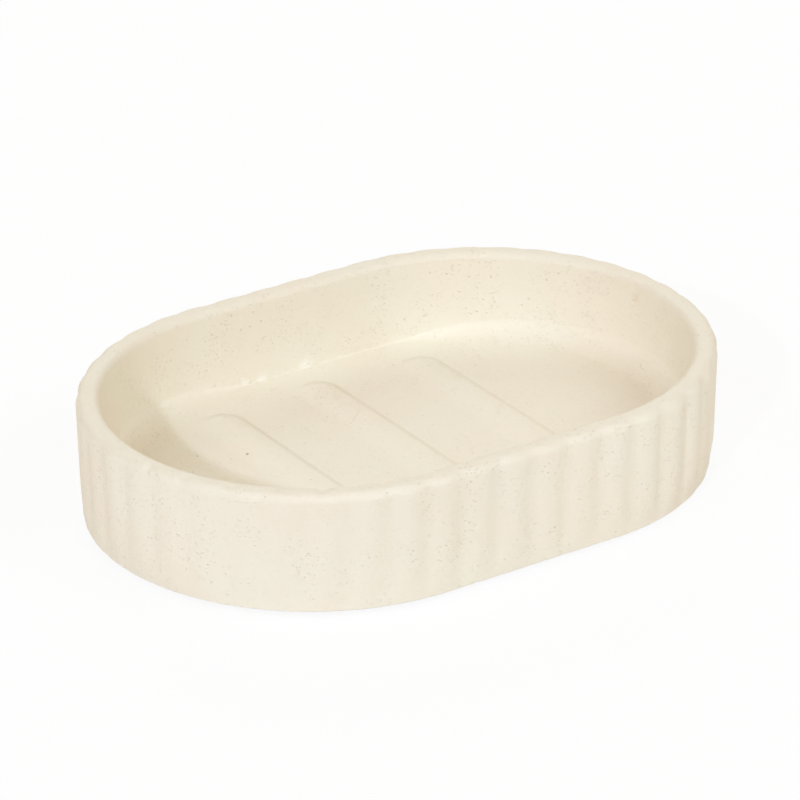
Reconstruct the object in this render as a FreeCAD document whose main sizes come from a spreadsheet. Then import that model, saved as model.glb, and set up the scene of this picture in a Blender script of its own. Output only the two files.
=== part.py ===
import FreeCAD, Part
import Sketcher
import math
import os

Vector = FreeCAD.Vector

# An oval soap dish: one reeded casting that stands on four bonded non-slip pads.
# Millimetres. X runs along the dish, Y across it, Z up. The origin is under the middle of the dish,
# at the level of the surface that the pads stand on.
DRIVING_SIZES = (
    # The casting, measured over the crests of the reeds.
    ("dish_length", 140.0),
    ("dish_width", 98.2),
    ("dish_height", 26.5),
    ("wall_draft", 0.7),
    ("rim_width", 5.2),
    ("lip_outer_radius", 2.4),
    ("lip_inner_radius", 2.2),
    ("base_edge_radius", 2.4),
    ("blank_margin", 0.3),
    # The reeds round the outside. Their pitch is eased to fit whole reeds on each end and each side.
    ("reed_pitch", 8.5),
    ("reed_depth", 0.65),
    ("groove_radius", 1.2),
    # The well that holds the soap.
    ("floor_thickness", 8.4),
    ("well_draft_angle", 4.0),
    ("cove_radius", 5.0),
    # The three ridges that lift the soap off the floor.
    ("ridge_spacing", 25.0),
    ("ridge_width", 9.4),
    ("ridge_rise", 1.2),
    ("ridge_root", 1.0),
    ("middle_ridge_length", 70.0),
    ("side_ridge_length", 66.0),
    # The pads, the discs that bond them and the seats they sit in.
    ("pad_diameter", 10.0),
    ("pad_thickness", 2.0),
    ("pad_edge_radius", 0.4),
    ("pad_stand", 1.0),
    ("pad_spacing_along", 84.0),
    ("pad_spacing_across", 52.0),
    ("disc_thickness", 0.2),
    ("disc_inset", 0.2),
    ("seat_clearance", 0.3),
)

LEVEL_TOLERANCE = 1e-4
FULL_TURN = 360.0
UP = Vector(0, 0, 1)
# The numbers that a sketch knows its own axes and the points of a curve by.
HORIZONTAL_AXIS, VERTICAL_AXIS = range(-1, -3, -1)
START, END, CENTRE = range(1, 4)
ORIGIN_POINT = (HORIZONTAL_AXIS, START)

doc = FreeCAD.newDocument("soap_dish")
dims = doc.addObject("Spreadsheet::Sheet", "dims")
for row, (alias, size) in enumerate(DRIVING_SIZES, start=1):
    dims.set("A%d" % row, alias)
    dims.set("B%d" % row, str(size))
    dims.setAlias("B%d" % row, alias)
doc.recompute()

BASE_LEVEL = "dims.pad_stand"
RIM_LEVEL = "dims.pad_stand + dims.dish_height"
FLOOR_LEVEL = "dims.pad_stand + dims.floor_thickness"
WELL_DEPTH = "dims.dish_height - dims.floor_thickness"
SEAT_DEPTH = "dims.pad_thickness + dims.disc_thickness - dims.pad_stand"


def plane_of(body, role):
    """The origin plane of a body that has this role."""
    return next(item for item in body.Origin.OriginFeatures if item.Role == role)


def new_sketch(body, name, role, offsets):
    """An empty sketch on an origin plane, shifted by the expression given for each axis of the plane."""
    sketch = body.newObject("Sketcher::SketchObject", name)
    sketch.AttachmentSupport = [(plane_of(body, role), "")]
    sketch.MapMode = "FlatFace"
    for axis, expression in offsets.items():
        sketch.setExpression("AttachmentOffset.Base." + axis, expression)
    return sketch


def bind(sketch, name, expression, constraint):
    """Adds a dimension to a sketch under a name and ties it to the sheet."""
    index = sketch.addConstraint(constraint)
    sketch.renameConstraint(index, name)
    sketch.setExpression("Constraints." + name, expression)


def level_face(shape, level):
    """The largest flat face of a shape at this height."""
    at_level = [
        face
        for face in shape.Faces
        if max(abs(face.BoundBox.ZMin - level), abs(face.BoundBox.ZMax - level)) < LEVEL_TOLERANCE
    ]
    return max(at_level, key=lambda face: face.Area)


def edge_names(shape, wanted):
    """The names that a fillet knows these edges of a shape by."""
    return [
        "Edge%d" % number
        for number, edge in enumerate(shape.Edges, start=1)
        if any(edge.isSame(other) for other in wanted)
    ]


def round_edges(body, name, base, edges, radius):
    """Rounds edges of a feature to a radius from the sheet."""
    fillet = body.newObject("PartDesign::Fillet", name)
    fillet.Base = (base, edge_names(base.Shape, edges))
    fillet.setExpression("Radius", radius)
    doc.recompute()
    return fillet


def cut_changed(before, feature):
    """Stops if a cut took nothing away."""
    if feature.Shape.Volume >= before.Shape.Volume:
        raise RuntimeError(feature.Name + " cuts nothing")


# The reeded outline: crests lie on a stadium, and reeds meet in small round grooves.
def outline_stations():
    """Points round the rim half a reed apart, each with its outward direction, anticlockwise."""
    end_radius = dims.dish_width / 2
    half_straight = dims.dish_length / 2 - end_radius
    end_steps = 2 * max(1, round(math.pi * end_radius / dims.reed_pitch))
    side_steps = 2 * max(1, round(2 * half_straight / dims.reed_pitch))
    half_outline = []
    for step in range(end_steps):
        angle = math.pi * (step / end_steps - 0.5)
        outward = Vector(math.cos(angle), math.sin(angle), 0)
        half_outline.append((Vector(half_straight, 0, 0) + outward * end_radius, outward))
    for step in range(side_steps):
        along = half_straight * (1 - 2 * step / side_steps)
        half_outline.append((Vector(along, end_radius, 0), Vector(0, 1, 0)))
    return half_outline + [(-point, -outward) for point, outward in half_outline]


def reed_circles():
    """For each reed at the rim, the circle through its crest and the two valleys beside it."""
    stations = outline_stations()
    circles = []
    for index in range(0, len(stations), 2):
        valleys = []
        for neighbour in (index - 1, index + 1):
            point, outward = stations[neighbour % len(stations)]
            valleys.append(point - outward * dims.reed_depth)
        circles.append(Part.Circle(valleys[0], stations[index][0], valleys[1]))
    return circles


def groove_circle(reed, next_reed):
    """The small circle that lies against two neighbouring reeds from outside."""
    reach = reed.Radius + dims.groove_radius
    next_reach = next_reed.Radius + dims.groove_radius
    link = next_reed.Center - reed.Center
    along = (reach**2 - next_reach**2 + link.Length**2) / (2 * link.Length)
    outward = link.cross(UP) / link.Length
    centre = reed.Center + link * (along / link.Length) + outward * math.sqrt(reach**2 - along**2)
    return Part.Circle(centre, UP, dims.groove_radius)


def towards(start, target, distance):
    """The point that lies this far from start on the way to target."""
    return start + (target - start) * (distance / (target - start).Length)


def reeded_sketch(body, name, level, inset):
    """The closed reeded outline at a height, inset all round from the outline of the rim."""
    reeds = reed_circles()
    grooves = [groove_circle(reed, reeds[(i + 1) % len(reeds)]) for i, reed in enumerate(reeds)]
    arcs = []
    for index, reed in enumerate(reeds):
        next_reed = reeds[(index + 1) % len(reeds)]
        before = grooves[index - 1].Center
        after = grooves[index].Center
        reed_radius = reed.Radius - inset
        first = towards(reed.Center, before, reed_radius)
        crest = towards(reed.Center, (before + after) / 2, reed_radius)
        last = towards(reed.Center, after, reed_radius)
        valley = towards(after, (reed.Center + next_reed.Center) / 2, dims.groove_radius + inset)
        next_first = towards(next_reed.Center, after, next_reed.Radius - inset)
        arcs.append(Part.Arc(first, crest, last))
        arcs.append(Part.Arc(last, valley, next_first))
    sketch = new_sketch(body, name, "XY_Plane", {"z": level})
    sketch.addGeometry(arcs, False)
    return sketch


def stadium_sketch(body, name, level, length, width):
    """A plain stadium about the origin, long along X, with its length and width tied to the sheet."""
    sketch = new_sketch(body, name, "XY_Plane", {"z": level})
    radius = dims.dish_width / 2
    centre = (dims.dish_length - dims.dish_width) / 2
    right_circle = Part.Circle(Vector(centre, 0, 0), UP, radius)
    left_circle = Part.Circle(Vector(-centre, 0, 0), UP, radius)
    right, rear, left, front = sketch.addGeometry(
        [
            Part.ArcOfCircle(right_circle, -math.pi / 2, math.pi / 2),
            Part.LineSegment(Vector(centre, radius, 0), Vector(-centre, radius, 0)),
            Part.ArcOfCircle(left_circle, math.pi / 2, 3 * math.pi / 2),
            Part.LineSegment(Vector(-centre, -radius, 0), Vector(centre, -radius, 0)),
        ],
        False,
    )
    for first, second in ((right, rear), (rear, left), (left, front), (front, right)):
        sketch.addConstraint(Sketcher.Constraint("Tangent", first, END, second, START))
    sketch.addConstraint(Sketcher.Constraint("Symmetric", right, CENTRE, left, CENTRE, *ORIGIN_POINT))
    sketch.addConstraint(Sketcher.Constraint("PointOnObject", right, CENTRE, HORIZONTAL_AXIS))
    sketch.addConstraint(Sketcher.Constraint("Horizontal", rear))
    bind(sketch, "end_radius", "(%s) / 2" % width, Sketcher.Constraint("Radius", right, radius))
    end_place = Sketcher.Constraint("DistanceX", *ORIGIN_POINT, right, CENTRE, centre)
    bind(sketch, "end_centre", "((%s) - (%s)) / 2" % (length, width), end_place)
    return sketch


def bead_section(sketch, whole):
    """Draws the section of a ridge: all of it, or the half to the right of its middle."""
    half_width = dims.ridge_width / 2
    rise = dims.ridge_rise
    radius = (half_width**2 + rise**2) / (2 * rise)
    start = math.asin((radius - rise) / radius)
    finish = math.pi - start if whole else math.pi / 2
    far_side = -half_width if whole else 0.0
    far_top = 0.0 if whole else rise
    low = -dims.ridge_root
    top, far, bottom, near = sketch.addGeometry(
        [
            Part.ArcOfCircle(Part.Circle(Vector(0, rise - radius, 0), UP, radius), start, finish),
            Part.LineSegment(Vector(far_side, far_top, 0), Vector(far_side, low, 0)),
            Part.LineSegment(Vector(far_side, low, 0), Vector(half_width, low, 0)),
            Part.LineSegment(Vector(half_width, low, 0), Vector(half_width, 0, 0)),
        ],
        False,
    )
    for first, second in ((top, far), (far, bottom), (bottom, near), (near, top)):
        sketch.addConstraint(Sketcher.Constraint("Coincident", first, END, second, START))
    sketch.addConstraint(Sketcher.Constraint("Vertical", far))
    sketch.addConstraint(Sketcher.Constraint("Horizontal", bottom))
    sketch.addConstraint(Sketcher.Constraint("Vertical", near))
    sketch.addConstraint(Sketcher.Constraint("PointOnObject", top, START, HORIZONTAL_AXIS))
    if whole:
        sketch.addConstraint(Sketcher.Constraint("Symmetric", top, START, top, END, VERTICAL_AXIS))
    else:
        sketch.addConstraint(Sketcher.Constraint("PointOnObject", top, END, VERTICAL_AXIS))
        sketch.addConstraint(Sketcher.Constraint("PointOnObject", top, CENTRE, VERTICAL_AXIS))
    side_place = Sketcher.Constraint("DistanceX", *ORIGIN_POINT, top, START, half_width)
    bind(sketch, "half_width", "dims.ridge_width / 2", side_place)
    bead_radius = "(dims.ridge_width ^ 2 / 4 + dims.ridge_rise ^ 2) / (2 * dims.ridge_rise)"
    bind(sketch, "bead_radius", bead_radius, Sketcher.Constraint("Radius", top, radius))
    root_place = Sketcher.Constraint("DistanceY", bottom, END, *ORIGIN_POINT, dims.ridge_root)
    bind(sketch, "root", "dims.ridge_root", root_place)


def add_ridge(body, name, middle, length):
    """A half-round ridge across the floor with a domed end towards each side of the dish."""
    section = new_sketch(body, name + "_section", "XZ_Plane", {"x": middle, "y": FLOOR_LEVEL})
    bead_section(section, whole=True)
    bar = body.newObject("PartDesign::Pad", name + "_bar")
    bar.Profile = section
    bar.SideType = "Symmetric"
    bar.setExpression("Length", "%s - dims.ridge_width" % length)
    # The upright plane that the sections lie on faces the front, so its own z runs towards the front.
    for end, sign in (("front", "1"), ("rear", "-1")):
        reach = "%s * (%s - dims.ridge_width) / 2" % (sign, length)
        places = {"x": middle, "y": FLOOR_LEVEL, "z": reach}
        half = new_sketch(body, "%s_%s_section" % (name, end), "XZ_Plane", places)
        bead_section(half, whole=False)
        dome = body.newObject("PartDesign::Revolution", "%s_%s_dome" % (name, end))
        dome.Profile = half
        dome.ReferenceAxis = (half, ["V_Axis"])
        dome.Angle = FULL_TURN
    doc.recompute()


def pad_seats_sketch(body):
    """Four equal circles on the underside, one at each pad."""
    sketch = new_sketch(body, "pad_seats_outline", "XY_Plane", {"z": BASE_LEVEL})
    along = dims.pad_spacing_along / 2
    across = dims.pad_spacing_across / 2
    radius = dims.pad_diameter / 2 + dims.seat_clearance
    corners = ((1, 1), (-1, 1), (-1, -1), (1, -1))
    circles = [Part.Circle(Vector(x * along, y * across, 0), UP, radius) for x, y in corners]
    first, second, third, fourth = sketch.addGeometry(circles, False)
    for other in (second, third, fourth):
        sketch.addConstraint(Sketcher.Constraint("Equal", first, other))
    mirrored_pairs = (
        (first, second, VERTICAL_AXIS),
        (fourth, third, VERTICAL_AXIS),
        (first, fourth, HORIZONTAL_AXIS),
    )
    for seat, twin, axis in mirrored_pairs:
        sketch.addConstraint(Sketcher.Constraint("Symmetric", seat, CENTRE, twin, CENTRE, axis))
    seat_radius = "dims.pad_diameter / 2 + dims.seat_clearance"
    bind(sketch, "seat_radius", seat_radius, Sketcher.Constraint("Radius", first, radius))
    along_place = Sketcher.Constraint("DistanceX", *ORIGIN_POINT, first, CENTRE, along)
    bind(sketch, "along", "dims.pad_spacing_along / 2", along_place)
    across_place = Sketcher.Constraint("DistanceY", *ORIGIN_POINT, first, CENTRE, across)
    bind(sketch, "across", "dims.pad_spacing_across / 2", across_place)
    return sketch


def make_wall_form():
    """The reeded outside of the wall, up to the rounded lip. Its lower end runs past the base."""
    form = doc.addObject("PartDesign::Body", "wall_form")
    block = form.newObject("PartDesign::AdditiveLoft", "reeded_block")
    block.Profile = reeded_sketch(form, "rim_outline", RIM_LEVEL, 0.0)
    block.Sections = [reeded_sketch(form, "foot_outline", "0", dims.wall_draft)]
    doc.recompute()
    rim_edges = level_face(block.Shape, dims.pad_stand + dims.dish_height).OuterWire.Edges
    round_edges(form, "lip_outside", block, rim_edges, "dims.lip_outer_radius")
    return form


def make_dish_body():
    """The casting: reeded wall, rounded lip, well with a cove, three ridges and four pad seats."""
    body = doc.addObject("PartDesign::Body", "dish_body")
    blank = body.newObject("PartDesign::Pad", "blank")
    blank_length = "dims.dish_length + 2 * dims.blank_margin"
    blank_width = "dims.dish_width + 2 * dims.blank_margin"
    blank.Profile = stadium_sketch(body, "blank_outline", BASE_LEVEL, blank_length, blank_width)
    blank.setExpression("Length", "dims.dish_height")
    doc.recompute()
    base_level = dims.pad_stand
    rim_level = base_level + dims.dish_height
    floor_level = base_level + dims.floor_thickness
    base_edges = level_face(blank.Shape, base_level).OuterWire.Edges
    eased = round_edges(body, "base_edge", blank, base_edges, "dims.base_edge_radius")

    well = body.newObject("PartDesign::Pocket", "well")
    mouth_length = "dims.dish_length - 2 * dims.rim_width"
    mouth_width = "dims.dish_width - 2 * dims.rim_width"
    well.Profile = stadium_sketch(body, "well_mouth", RIM_LEVEL, mouth_length, mouth_width)
    well.setExpression("Length", WELL_DEPTH)
    well.setExpression("TaperAngle", "-dims.well_draft_angle")
    doc.recompute()
    cut_changed(eased, well)
    floor_edges = level_face(well.Shape, floor_level).OuterWire.Edges
    cove = round_edges(body, "cove", well, floor_edges, "dims.cove_radius")
    rim_face = level_face(cove.Shape, rim_level)
    mouth_edges = [
        edge
        for wire in rim_face.Wires
        if not wire.isSame(rim_face.OuterWire)
        for edge in wire.Edges
    ]
    round_edges(body, "lip_inside", cove, mouth_edges, "dims.lip_inner_radius")

    add_ridge(body, "left_ridge", "-dims.ridge_spacing", "dims.side_ridge_length")
    add_ridge(body, "middle_ridge", "0", "dims.middle_ridge_length")
    add_ridge(body, "right_ridge", "dims.ridge_spacing", "dims.side_ridge_length")

    ridged = body.Tip
    seats = body.newObject("PartDesign::Pocket", "pad_seats")
    seats.Profile = pad_seats_sketch(body)
    seats.Reversed = True
    seats.setExpression("Length", SEAT_DEPTH)
    doc.recompute()
    cut_changed(ridged, seats)

    wall = body.newObject("PartDesign::Boolean", "reeded_wall")
    wall.Type = "Common"
    wall.setObjects([make_wall_form()])
    doc.recompute()
    cut_changed(seats, wall)
    return body


def set_place(piece, along, across, level):
    """Ties the place of a piece to the sheet."""
    for axis, expression in (("x", along), ("y", across), ("z", level)):
        piece.setExpression("Placement.Base." + axis, expression)


def make_foot_pad(corner, along, across):
    """A round pad with a rounded lower edge, whose flat underside meets the counter."""
    pad = doc.addObject("PartDesign::Body", "foot_pad_" + corner)
    outline = new_sketch(pad, "outline_" + corner, "XY_Plane", {})
    radius = dims.pad_diameter / 2
    (circle,) = outline.addGeometry([Part.Circle(Vector(0, 0, 0), UP, radius)], False)
    outline.addConstraint(Sketcher.Constraint("Coincident", circle, CENTRE, *ORIGIN_POINT))
    bind(outline, "radius", "dims.pad_diameter / 2", Sketcher.Constraint("Radius", circle, radius))
    disc = pad.newObject("PartDesign::Pad", "disc_" + corner)
    disc.Profile = outline
    disc.setExpression("Length", "dims.pad_thickness")
    doc.recompute()
    lower_edge = level_face(disc.Shape, 0.0).OuterWire.Edges
    round_edges(pad, "lower_edge_" + corner, disc, lower_edge, "dims.pad_edge_radius")
    set_place(pad, along, across, "0")
    return pad


def make_adhesive_disc(corner, along, across):
    """The thin disc that bonds a pad to the roof of its seat."""
    disc = doc.addObject("Part::Cylinder", "adhesive_disc_" + corner)
    disc.setExpression("Radius", "dims.pad_diameter / 2 - dims.disc_inset")
    disc.setExpression("Height", "dims.disc_thickness")
    set_place(disc, along, across, "dims.pad_thickness")
    return disc


sub_parts = [make_dish_body()]
for across_name, across_sign in (("front", "-1"), ("rear", "1")):
    for along_name, along_sign in (("left", "-1"), ("right", "1")):
        corner_name = across_name + "_" + along_name
        along_place = along_sign + " * dims.pad_spacing_along / 2"
        across_place = across_sign + " * dims.pad_spacing_across / 2"
        sub_parts.append(make_foot_pad(corner_name, along_place, across_place))
        sub_parts.append(make_adhesive_disc(corner_name, along_place, across_place))
doc.recompute()

for item in doc.Objects:
    if "Invalid" in item.State or "Error" in item.State:
        raise RuntimeError("%s failed: %s" % (item.Name, item.State))
for piece in sub_parts:
    if piece.Shape.isNull() or not piece.Shape.isValid() or len(piece.Shape.Solids) != 1:
        raise RuntimeError(piece.Label + " is not one sound solid")

os.makedirs("parts", exist_ok=True)
for piece in sub_parts:
    piece.Shape.exportStep("parts/%s.step" % piece.Label)
    box = piece.Shape.optimalBoundingBox()
    print(
        "%-28s %8.1f mm3  %6.2f x %6.2f x %6.2f  z from %.2f"
        % (piece.Label, piece.Shape.Volume, box.XLength, box.YLength, box.ZLength, box.ZMin)
    )
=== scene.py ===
# %% [markdown]
# # A cast soap dish
# The real dish is one casting in a cream stone mix: an oval tray with reeds all round the outside,
# a rounded lip, and three low ridges that keep the soap out of the wet. Four small rubber feet are
# glued into seats under it. The CAD frame already fixes every size and place, so it is loaded first
# and never moved, and each piece below is modelled straight into the same metres.

# %% Load the frame
import math

import bpy
import numpy as np
from mathutils import Matrix, Vector, geometry, kdtree, noise


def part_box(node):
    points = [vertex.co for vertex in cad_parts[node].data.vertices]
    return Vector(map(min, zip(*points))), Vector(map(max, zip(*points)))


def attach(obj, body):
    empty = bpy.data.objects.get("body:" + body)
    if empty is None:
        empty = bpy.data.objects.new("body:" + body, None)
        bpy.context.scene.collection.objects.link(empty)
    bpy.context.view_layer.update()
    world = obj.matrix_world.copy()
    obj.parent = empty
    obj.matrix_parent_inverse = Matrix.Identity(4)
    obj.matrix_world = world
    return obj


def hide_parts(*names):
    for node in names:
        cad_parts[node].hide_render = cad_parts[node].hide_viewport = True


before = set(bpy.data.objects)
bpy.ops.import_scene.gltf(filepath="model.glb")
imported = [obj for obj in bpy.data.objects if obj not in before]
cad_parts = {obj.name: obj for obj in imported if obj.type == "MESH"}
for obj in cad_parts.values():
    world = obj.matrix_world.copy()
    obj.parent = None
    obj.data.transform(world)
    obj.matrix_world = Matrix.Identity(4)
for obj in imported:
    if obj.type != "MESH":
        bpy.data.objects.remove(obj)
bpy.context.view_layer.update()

MM = 0.001

# %% [markdown]
# ## Camera
# Small goods are photographed with a long lens from about a metre, which keeps both ends of the dish
# nearly the same size. A camera could be aimed with a Track To constraint, but a plain matrix says
# exactly where it stands: step back along the line of sight, turn to face the dish, then add the
# small roll and tilt of a camera on a tripod.

# %% Place the camera
AZIMUTH, ELEVATION, ROLL, TILT = (math.radians(angle) for angle in (-33.5, 26.0, -0.42, 0.232))
SUBJECT = Vector((0, 0, 14.25 * MM))
STAND_OFF = 1.087
LENS_MM, SENSOR_MM = 235.4, 36.0


def line_of_sight(azimuth, elevation):
    """Unit vector from the dish towards something at this azimuth and elevation."""
    level = math.cos(elevation)
    return Vector((math.sin(azimuth) * level, -math.cos(azimuth) * level, math.sin(elevation)))


camera = bpy.data.objects.new("camera", bpy.data.cameras.new("camera"))
bpy.context.scene.collection.objects.link(camera)
bpy.context.scene.camera = camera
camera.data.lens = LENS_MM
camera.data.sensor_width = SENSOR_MM
sight = line_of_sight(AZIMUTH, ELEVATION)
facing = sight.to_track_quat("Z", "Y").to_matrix().to_4x4()
stand = Matrix.Translation(SUBJECT + STAND_OFF * sight)
camera.matrix_world = stand @ facing @ Matrix.Rotation(ROLL, 4, "Z") @ Matrix.Rotation(TILT, 4, "X")
print("camera at, mm:", [round(place / MM) for place in camera.matrix_world.translation])

# %% [markdown]
# ## The plan of the dish
# Seen from above, the dish is a stadium: two half circles joined by two short straight sides. Columns
# of points run round it, sixteen to each reed, and each column remembers three things: the point that
# it is measured from, the way out, and how far it lies from the crest of its reed. Any curve round the
# dish is then one line of arithmetic, because moving in or out only changes the distance.

# %% Columns round the plan
dish_low, dish_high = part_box("dish_body")
END_RADIUS = (dish_high.y - dish_low.y) / 2
HALF_STRAIGHT = (dish_high.x - dish_low.x) / 2 - END_RADIUS
BASE_Z, RIM_Z = dish_low.z, dish_high.z
REEDS_PER_END, REEDS_PER_SIDE = 18, 5
COLUMNS_PER_REED = 16


def half_plan():
    """Centres and outward directions for one end and the side that follows it, anticlockwise."""
    turn = np.linspace(-math.pi / 2, math.pi / 2, REEDS_PER_END * COLUMNS_PER_REED, endpoint=False)
    along = np.linspace(HALF_STRAIGHT, -HALF_STRAIGHT, REEDS_PER_SIDE * COLUMNS_PER_REED, endpoint=False)
    centres = np.zeros((len(turn) + len(along), 2))
    centres[:, 0] = np.concatenate([np.full(len(turn), HALF_STRAIGHT), along])
    outward = np.zeros_like(centres)
    outward[: len(turn)] = np.stack([np.cos(turn), np.sin(turn)], axis=1)
    outward[len(turn) :, 1] = 1
    return centres, outward


half_centres, half_outward = half_plan()
plan_centres = np.vstack([half_centres, -half_centres])
plan_outward = np.vstack([half_outward, -half_outward])
COLUMNS = len(plan_centres)
half_reed = COLUMNS_PER_REED / 2
from_crest = 1 - abs(np.arange(COLUMNS) % COLUMNS_PER_REED - half_reed) / half_reed
print(COLUMNS, "columns,", COLUMNS // COLUMNS_PER_REED, "reeds")


def plan_ring(inset, height):
    """One closed ring of points that lies this far in from the crests, at this height."""
    flat = plan_centres + plan_outward * np.reshape(END_RADIUS - inset, (-1, 1))
    return np.column_stack([flat, np.broadcast_to(height, COLUMNS)])


# %% [markdown]
# ## The section of a reed
# Each reed is a shallow convex rib, and two ribs meet in a narrow soft groove. A sine wave would make
# crests and grooves equally round, which looks like corrugated card. Here the depth grows with the
# square of the distance from the crest, as on a round bar, until a steeper curve turns it back into
# the groove. The mould is not equally sharp all round: the reeds are shallower at the left end and at
# the front of the right end, so each column also carries the share of the depth that is left to it.

# %% Reed depth
REED_DEPTH = 0.8 * MM
GROOVE_START = 0.66
LEFT_END_X, LEFT_END_SHARE = (-62 * MM, -15 * MM), 0.55
FRONT_RIGHT_X, FRONT_RIGHT_Y, FRONT_RIGHT_SHARE = (50 * MM, 65 * MM), (4 * MM, -12 * MM), 0.3


def ease(value, low, high):
    """Climbs smoothly from 0 at low to 1 at high."""
    share = np.clip((value - low) / (high - low), 0, 1)
    return share * share * (3 - 2 * share)


def reed_depth(share):
    """Depth below the crest as a share of the whole, from 0 at a crest to 1 in the groove."""
    into_groove = np.clip(share - GROOVE_START, 0, None)
    return (share**2 - into_groove**2 / (1 - GROOVE_START)) / GROOVE_START


column_x, column_y = (plan_centres + END_RADIUS * plan_outward).T
worn = LEFT_END_SHARE + (1 - LEFT_END_SHARE) * ease(column_x, *LEFT_END_X)
front_right = ease(column_x, *FRONT_RIGHT_X) * ease(column_y, *FRONT_RIGHT_Y)
worn = worn * (1 - (1 - FRONT_RIGHT_SHARE) * front_right)
reeding = REED_DEPTH * worn * reed_depth(from_crest)
print("reed depth, mm:", round(reeding.max() / MM, 2), "and at its most worn:", round(worn.min(), 2))

# %% [markdown]
# ## The outside wall
# The casting leaves its mould upwards, so the wall leans in a little towards the base, and the base
# has a rounded edge of its own. The reeds lose a little depth towards the lip. Over the last few
# millimetres above the base they nearly run out, and the wall is drawn in, on the right more than on
# the left. Wall and base edge are both distances from the crest line, and the larger one wins at each
# height. A soft maximum keeps the crisp but not sharp corner that a worn rubber mould gives.

# %% Rings of the base edge and the wall
LIP_OUTER_RADIUS = 2.0 * MM
LIP_START_Z = RIM_Z - LIP_OUTER_RADIUS
WALL_LEAN = 0.7 / 27.5
BASE_EDGE_RADIUS = 2.4 * MM
BASE_INSET = 2.05 * MM
CORNER_SOFTNESS = 0.25 * MM
LIP_FADE, REED_LEFT_AT_LIP = 5 * MM, 0.72
BASE_FADE, REED_LEFT_AT_BASE = 7 * MM, 0.2
TUCK_X, BASE_TUCKS = (-25 * MM, 40 * MM), (0.2 * MM, 0.6 * MM)
BASE_TURNS = np.radians((0, 9, 17, 24, 30, 36, 42, 48, 54, 60))
WALL_RINGS = 36
left_tuck, right_tuck = BASE_TUCKS
tuck = left_tuck + (right_tuck - left_tuck) * ease(column_x, *TUCK_X)


def soft_max(first, second, softness):
    """The larger of two values, with the corner where they cross rounded over."""
    overlap = np.clip(1 - abs(first - second) / softness, 0, None)
    return np.maximum(first, second) + softness * overlap**2 / 4


def wall_ring(height):
    """The outside of the dish at this height: the leaning reeded wall or the base edge."""
    lost = (1 - REED_LEFT_AT_LIP) * ease(height, LIP_START_Z - LIP_FADE, LIP_START_Z)
    near_base = ease(height, BASE_Z + BASE_FADE, BASE_Z)
    lost += (1 - REED_LEFT_AT_BASE) * near_base
    wall = WALL_LEAN * (LIP_START_Z - height) + (1 - lost) * reeding + near_base * tuck
    below_edge = max(BASE_Z + BASE_EDGE_RADIUS - height, 0)
    base_edge = BASE_INSET - math.sqrt(BASE_EDGE_RADIUS**2 - below_edge**2)
    return plan_ring(soft_max(wall, base_edge, CORNER_SOFTNESS), height)


base_heights = BASE_Z + BASE_EDGE_RADIUS * (1 - np.cos(BASE_TURNS))
wall_heights = np.linspace(base_heights[-1], LIP_START_Z, WALL_RINGS + 1)[1:]
rings = [wall_ring(height) for height in (*base_heights, *wall_heights)]
print(len(rings), "rings up the outside")

# %% [markdown]
# ## The lip
# Over the lip the reeds fade out: each crest runs on as a small bead and each groove ends in an arch.
# The lip is two quarter rounds with a narrow flat between them, and what is left of the reed depth
# shrinks along it until the inner edge is smooth.

# %% Rings of the lip
RIM_WIDTH = 4.95 * MM
LIP_INNER_RADIUS = 1.8 * MM
WELL_DRAFT = math.radians(4)
REED_LEFT_ON_TOP = 0.36
LIP_SMOOTHS = math.radians(35), math.radians(110)
OUTER_LIP_RINGS, INNER_LIP_RINGS = 11, 9
lip_inner_centre = RIM_WIDTH - LIP_INNER_RADIUS * (1 - math.sin(WELL_DRAFT)) / math.cos(WELL_DRAFT)

for turn in np.linspace(0, math.pi / 2, OUTER_LIP_RINGS + 1)[1:]:
    left = REED_LEFT_AT_LIP + (REED_LEFT_ON_TOP - REED_LEFT_AT_LIP) * turn / (math.pi / 2)
    inset = LIP_OUTER_RADIUS * (1 - math.cos(turn)) + left * reeding
    rings.append(plan_ring(inset, LIP_START_Z + LIP_OUTER_RADIUS * math.sin(turn)))
for turn in np.linspace(math.pi / 2, WELL_DRAFT, INNER_LIP_RINGS + 1):
    left = REED_LEFT_ON_TOP * ease(turn, *LIP_SMOOTHS)
    inset = lip_inner_centre + LIP_INNER_RADIUS * math.cos(turn) + left * reeding
    rings.append(plan_ring(inset, RIM_Z - LIP_INNER_RADIUS * (1 - math.sin(turn))))
print(len(rings), "rings with the lip")

# %% [markdown]
# ## The inside wall and the cove
# The well narrows downwards, and bows a little, so that the casting lets go of its core. A cove rounds
# the corner where the wall meets the floor. It is not the same all round: along the middle of the long
# sides it is tight, in the two ends it is wide and runs out into a shallow apron, and in the right
# end it also climbs higher. Its size therefore belongs to the column. The arc stops short of level,
# which leaves the soft crease at the foot of the cove. The rings of the wall crowd together towards
# the foot, where the tight corner and the marks of the casting need more points.

# %% Rings of the well
FLOOR_Z = BASE_Z + 8.0 * MM
WELL_DEPTH = RIM_Z - FLOOR_Z
WELL_BOW = 0.5 * MM
TIGHT_COVE, WIDE_COVE = (0.1 * MM, 0.07 * MM), (7.6 * MM, 2.5 * MM)
TIGHT_MIDDLE = 7.5 * MM
COVE_WIDENS = 16.5 * MM, 37 * MM
RIGHT_END_X, RIGHT_END_COVE = (40 * MM, 58 * MM), 1.7
COVE_END = math.radians(70)
APRON_RADIUS, APRON_SLOPE, APRON_START = 33 * MM, math.tan(math.radians(4)), 2.5 * MM
INNER_WALL_RINGS, COVE_RINGS = 16, 12
RING_CROWDING = 0.6


def end_share(x):
    """0 along the tight middle of a long side, 1 in the ends of the dish."""
    return ease(abs(x - TIGHT_MIDDLE), *COVE_WIDENS)


def apron_height(x, radius):
    """Height of the apron over the floor, by place along the dish and the stadium it lies on."""
    return end_share(x) * soft_max(APRON_SLOPE * (radius - APRON_RADIUS), 0, APRON_SLOPE * APRON_START)


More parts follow.
